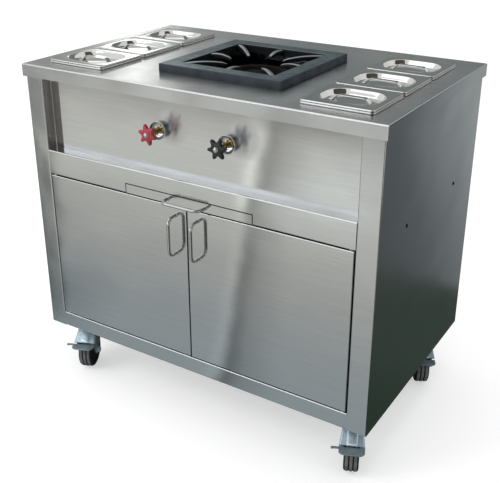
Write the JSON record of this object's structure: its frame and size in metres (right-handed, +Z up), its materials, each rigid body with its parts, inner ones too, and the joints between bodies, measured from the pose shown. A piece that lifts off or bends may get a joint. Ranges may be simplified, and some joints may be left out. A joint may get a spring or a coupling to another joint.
{
  "type": "cooking trolley",
  "caption": "Stainless steel cooking trolley on braked castors, with a gas burner under a cast grate, covered food pans let into the top, a drip tray and a cupboard.",
  "frame": {"origin": "on the floor, under the middle of the whole object with its door handles counted in", "axes": "+X to the right as seen from the doors, +Y to the back, +Z up"},
  "size_m": [1, 0.654, 0.916],
  "materials": {
    "stainless_sheet": "brushed stainless sheet",
    "polished_steel": "polished stainless",
    "cast_iron": "dark cast iron",
    "brass": "turned brass",
    "copper_tube": "drawn copper tube",
    "red_paint": "glossy red paint",
    "black_paint": "black paint",
    "zinc": "bright zinc plate",
    "tyre": "grey rubber",
    "hub": "dark moulded nylon",
    "steel_pipe": "grey painted pipe"
  },
  "bodies": {
    "cabinet": {"worktop": "stainless_sheet", "left_side_panel": "stainless_sheet", "right_side_panel": "stainless_sheet", "back_panel": "stainless_sheet", "base_panel": "stainless_sheet", "base_channels": "zinc", "control_panel": "stainless_sheet", "mid_rail": "stainless_sheet", "tray_runners": "stainless_sheet", "burner_body": "cast_iron", "burner_rings": "brass", "burner_cradle": "zinc", "gas_manifold": "steel_pipe", "gas_valves": "brass", "supply_tubes": "copper_tube", "bezel_cups": "polished_steel", "castor_plates": "zinc"},
    "left_door": {"left_door": "stainless_sheet", "left_hinge_pins": "zinc", "left_door_handle": "polished_steel"},
    "right_door": {"right_door": "stainless_sheet", "right_hinge_pins": "zinc", "right_door_handle": "polished_steel"},
    "drip_tray": {"drip_tray": "stainless_sheet", "tray_handle": "polished_steel"},
    "red_knob": {"red_knob": "red_paint", "red_knob_spindle": "brass"},
    "black_knob": {"black_knob": "black_paint", "black_knob_spindle": "brass"},
    "grate": {"grate": "cast_iron"},
    "front_left_pan": {"front_left_pan": "polished_steel"},
    "front_left_lid": {"front_left_lid": "polished_steel"},
    "middle_left_pan": {"middle_left_pan": "polished_steel"},
    "middle_left_lid": {"middle_left_lid": "polished_steel"},
    "rear_left_pan": {"rear_left_pan": "polished_steel"},
    "rear_left_lid": {"rear_left_lid": "polished_steel"},
    "front_right_pan": {"front_right_pan": "polished_steel"},
    "front_right_lid": {"front_right_lid": "polished_steel"},
    "middle_right_pan": {"middle_right_pan": "polished_steel"},
    "middle_right_lid": {"middle_right_lid": "polished_steel"},
    "rear_right_pan": {"rear_right_pan": "polished_steel"},
    "rear_right_lid": {"rear_right_lid": "polished_steel"},
    "front_left_castor": {"front_left_fork": "zinc"},
    "front_left_wheel": {"front_left_tyre": "tyre", "front_left_hub": "hub"},
    "front_left_brake": {"front_left_brake_pedal": "zinc"},
    "front_right_castor": {"front_right_fork": "zinc"},
    "front_right_wheel": {"front_right_tyre": "tyre", "front_right_hub": "hub"},
    "front_right_brake": {"front_right_brake_pedal": "zinc"},
    "rear_right_castor": {"rear_right_fork": "zinc"},
    "rear_right_wheel": {"rear_right_tyre": "tyre", "rear_right_hub": "hub"},
    "rear_right_brake": {"rear_right_brake_pedal": "zinc"},
    "rear_left_castor": {"rear_left_fork": "zinc"},
    "rear_left_wheel": {"rear_left_tyre": "tyre", "rear_left_hub": "hub"},
    "rear_left_brake": {"rear_left_brake_pedal": "zinc"}
  },
  "joints": [
    {"name": "left_door_hinge", "type": "hinge", "parent": "cabinet", "child": "left_door", "pos_m": [-0.429, -0.285, 0.398], "axis": [0, 0, -1], "range_deg": [0, 110]},
    {"name": "right_door_hinge", "type": "hinge", "parent": "cabinet", "child": "right_door", "pos_m": [0.429, -0.285, 0.398], "axis": [0, 0, 1], "range_deg": [0, 110]},
    {"name": "drip_tray_slide", "type": "slide", "parent": "cabinet", "child": "drip_tray", "axis": [0, -1, 0], "range_m": [0, 0.35]},
    {"name": "red_knob_turn", "type": "hinge", "parent": "cabinet", "child": "red_knob", "pos_m": [-0.09, -0.3075, 0.779], "axis": [0, -1, 0], "range_deg": [0, 540]},
    {"name": "black_knob_turn", "type": "hinge", "parent": "cabinet", "child": "black_knob", "pos_m": [0.106, -0.3075, 0.779], "axis": [0, -1, 0], "range_deg": [0, 540]},
    {"name": "grate_lift", "type": "slide", "parent": "cabinet", "child": "grate", "axis": [0, 0, 1], "range_m": [0, 0.2]},
    {"name": "front_left_pan_lift", "type": "slide", "parent": "cabinet", "child": "front_left_pan", "axis": [0, 0, 1], "range_m": [0, 0.2]},
    {"name": "front_left_lid_lift", "type": "slide", "parent": "front_left_pan", "child": "front_left_lid", "axis": [0, 0, 1], "range_m": [0, 0.15]},
    {"name": "middle_left_pan_lift", "type": "slide", "parent": "cabinet", "child": "middle_left_pan", "axis": [0, 0, 1], "range_m": [0, 0.2]},
    {"name": "middle_left_lid_lift", "type": "slide", "parent": "middle_left_pan", "child": "middle_left_lid", "axis": [0, 0, 1], "range_m": [0, 0.15]},
    {"name": "rear_left_pan_lift", "type": "slide", "parent": "cabinet", "child": "rear_left_pan", "axis": [0, 0, 1], "range_m": [0, 0.2]},
    {"name": "rear_left_lid_lift", "type": "slide", "parent": "rear_left_pan", "child": "rear_left_lid", "axis": [0, 0, 1], "range_m": [0, 0.15]},
    {"name": "front_right_pan_lift", "type": "slide", "parent": "cabinet", "child": "front_right_pan", "axis": [0, 0, 1], "range_m": [0, 0.2]},
    {"name": "front_right_lid_lift", "type": "slide", "parent": "front_right_pan", "child": "front_right_lid", "axis": [0, 0, 1], "range_m": [0, 0.15]},
    {"name": "middle_right_pan_lift", "type": "slide", "parent": "cabinet", "child": "middle_right_pan", "axis": [0, 0, 1], "range_m": [0, 0.2]},
    {"name": "middle_right_lid_lift", "type": "slide", "parent": "middle_right_pan", "child": "middle_right_lid", "axis": [0, 0, 1], "range_m": [0, 0.15]},
    {"name": "rear_right_pan_lift", "type": "slide", "parent": "cabinet", "child": "rear_right_pan", "axis": [0, 0, 1], "range_m": [0, 0.2]},
    {"name": "rear_right_lid_lift", "type": "slide", "parent": "rear_right_pan", "child": "rear_right_lid", "axis": [0, 0, 1], "range_m": [0, 0.15]},
    {"name": "front_left_swivel", "type": "hinge", "parent": "cabinet", "child": "front_left_castor", "pos_m": [-0.424, -0.2055, 0.13], "axis": [0, 0, 1], "continuous": true},
    {"name": "front_left_wheel_spin", "type": "hinge", "parent": "front_left_castor", "child": "front_left_wheel", "pos_m": [-0.40773, -0.24204, 0.05], "axis": [-0.9135, -0.4067, 0], "continuous": true},
    {"name": "front_left_brake_press", "type": "hinge", "parent": "front_left_castor", "child": "front_left_brake", "pos_m": [-0.39798, -0.26395, 0.08399], "axis": [0.9135, 0.4067, 0], "range_deg": [0, 10]},
    {"name": "front_right_swivel", "type": "hinge", "parent": "cabinet", "child": "front_right_castor", "pos_m": [0.424, -0.2055, 0.13], "axis": [0, 0, 1], "continuous": true},
    {"name": "front_right_wheel_spin", "type": "hinge", "parent": "front_right_castor", "child": "front_right_wheel", "pos_m": [0.43963, -0.24232, 0.05], "axis": [-0.9205, -0.3907, 0], "continuous": true},
    {"name": "front_right_brake_press", "type": "hinge", "parent": "front_right_castor", "child": "front_right_brake", "pos_m": [0.449, -0.26439, 0.08399], "axis": [0.9205, 0.3907, 0], "range_deg": [0, 10]},
    {"name": "rear_right_swivel", "type": "hinge", "parent": "cabinet", "child": "rear_right_castor", "pos_m": [0.424, 0.2345, 0.13], "axis": [0, 0, 1], "continuous": true},
    {"name": "rear_right_wheel_spin", "type": "hinge", "parent": "rear_right_castor", "child": "rear_right_wheel", "pos_m": [0.44339, 0.19951, 0.05], "axis": [-0.8746, -0.4848, 0], "continuous": true},
    {"name": "rear_right_brake_press", "type": "hinge", "parent": "rear_right_castor", "child": "rear_right_brake", "pos_m": [0.45502, 0.17854, 0.08399], "axis": [0.8746, 0.4848, 0], "range_deg": [0, 10]},
    {"name": "rear_left_swivel", "type": "hinge", "parent": "cabinet", "child": "rear_left_castor", "pos_m": [-0.424, 0.2345, 0.13], "axis": [0, 0, 1], "continuous": true},
    {"name": "rear_left_wheel_spin", "type": "hinge", "parent": "rear_left_castor", "child": "rear_left_wheel", "pos_m": [-0.40522, 0.19918, 0.05], "axis": [-0.8829, -0.4695, 0], "continuous": true},
    {"name": "rear_left_brake_press", "type": "hinge", "parent": "rear_left_castor", "child": "rear_left_brake", "pos_m": [-0.39396, 0.17801, 0.08399], "axis": [0.8829, 0.4695, 0], "range_deg": [0, 10]}
  ]
}
